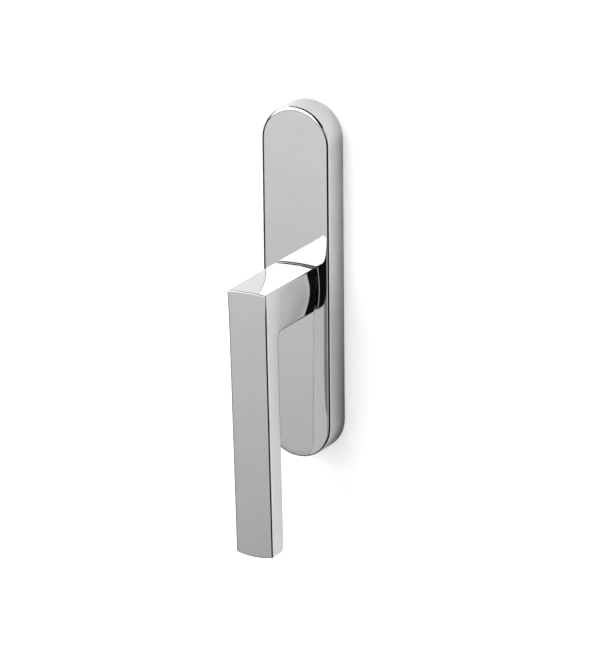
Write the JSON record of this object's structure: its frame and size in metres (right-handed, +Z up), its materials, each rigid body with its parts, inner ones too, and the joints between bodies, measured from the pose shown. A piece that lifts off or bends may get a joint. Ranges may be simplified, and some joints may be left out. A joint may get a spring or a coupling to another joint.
{
  "type": "window handle",
  "caption": "Polished window handle with a square right-angled lever on a long round-ended plate that covers a rack gear.",
  "frame": {"origin": "spindle axis in the plane of the window profile that the plate is screwed to", "axes": "+Z up along the plate, +Y into the window profile, +X to the right of a person facing the handle; the lever hangs down, which is closed"},
  "size_m": [0.035, 0.0844, 0.205],
  "materials": {
    "polished_chrome": "mirror-polished chrome plate on cast brass",
    "cast_zinc": "bare zinc die casting, satin",
    "plated_steel": "zinc-plated steel",
    "spring_steel": "dark hardened steel",
    "black_acetal": "black acetal, moulded",
    "seal_rubber": "black rubber cord"
  },
  "bodies": {
    "plate": {"cover_plate": "polished_chrome", "base_plate": "cast_zinc", "rear_plate": "plated_steel", "edge_seal": "seal_rubber", "base_bush": "black_acetal", "glide_ring": "black_acetal", "thrust_washer": "plated_steel", "cover_clip_upper": "spring_steel", "cover_clip_lower": "spring_steel", "fixing_screw_upper": "plated_steel", "fixing_screw_lower": "plated_steel", "fixing_washer_upper": "plated_steel", "fixing_washer_lower": "plated_steel", "rear_plate_screw_1": "plated_steel", "rear_plate_screw_2": "plated_steel", "rear_plate_screw_3": "plated_steel", "rear_plate_screw_4": "plated_steel", "detent_spring_left": "spring_steel", "detent_spring_right": "spring_steel"},
    "handle": {"handle_lever": "polished_chrome", "neck_grub_screw": "spring_steel", "square_spindle": "plated_steel", "detent_cam": "plated_steel", "retaining_ring": "spring_steel", "drive_pinion": "plated_steel"},
    "upper_drive": {"drive_rack_left": "plated_steel", "drive_peg_upper": "plated_steel"},
    "lower_drive": {"drive_rack_right": "plated_steel", "drive_peg_lower": "plated_steel"}
  },
  "joints": [
    {"name": "handle_turn", "type": "hinge", "parent": "plate", "child": "handle", "pos_m": [0, 0, 0], "axis": [0, 1, 0], "range_deg": [0, 180], "deforming": ["detent_spring_left", "detent_spring_right"]},
    {"name": "upper_drive_slide", "type": "slide", "parent": "plate", "child": "upper_drive", "axis": [0, 0, 1], "range_m": [0, 0.0283]},
    {"name": "lower_drive_slide", "type": "slide", "parent": "plate", "child": "lower_drive", "axis": [0, 0, -1], "range_m": [0, 0.0283]}
  ],
  "couplings": [
    {"joint": "upper_drive_slide", "follows": "handle_turn", "m_per_rad": 0.009},
    {"joint": "lower_drive_slide", "follows": "handle_turn", "m_per_rad": 0.009}
  ]
}
